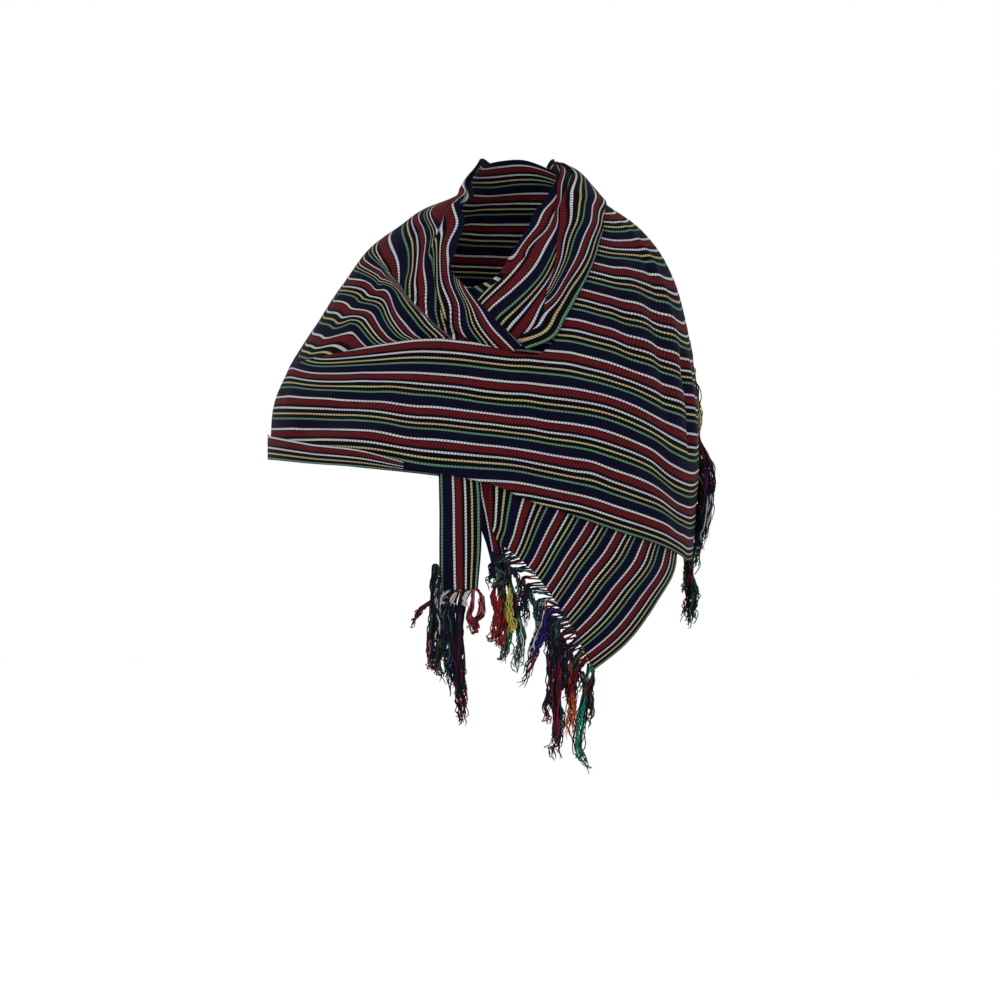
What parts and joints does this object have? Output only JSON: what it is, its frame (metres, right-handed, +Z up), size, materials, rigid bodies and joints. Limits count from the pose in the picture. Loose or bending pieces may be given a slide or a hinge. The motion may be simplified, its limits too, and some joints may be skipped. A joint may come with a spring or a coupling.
{
  "type": "shawl",
  "caption": "Striped woven cotton shawl worn round the shoulders, wound once, with a loose cowl at the neck and knotted fringes.",
  "frame": {"origin": "inside the base of the neck, midway between the shoulders, where the wearer carries the shawl", "axes": "+X to the wearer's left, -Y to the front, +Z up"},
  "size_m": [0.6138, 0.3519, 0.8444],
  "materials": {
    "striped_cotton": "matte woven cotton in narrow lengthwise stripes",
    "fringe_yarn": "matte knotted cotton yarn"
  },
  "bodies": {
    "root": {"front_wrap": "striped_cotton", "right_shoulder_drape": "striped_cotton", "neck_band": "striped_cotton", "collar_inner": "striped_cotton", "collar_middle": "striped_cotton", "collar_roll": "striped_cotton", "back_drape": "striped_cotton", "end_under": "striped_cotton", "end_fold": "striped_cotton", "end_fold_inner": "striped_cotton", "hem_fold": "striped_cotton", "end_fringe_left": "fringe_yarn", "end_fringe_middle": "fringe_yarn", "end_fringe_right": "fringe_yarn", "arm_fringe": "fringe_yarn"}
  },
  "joints": []
}
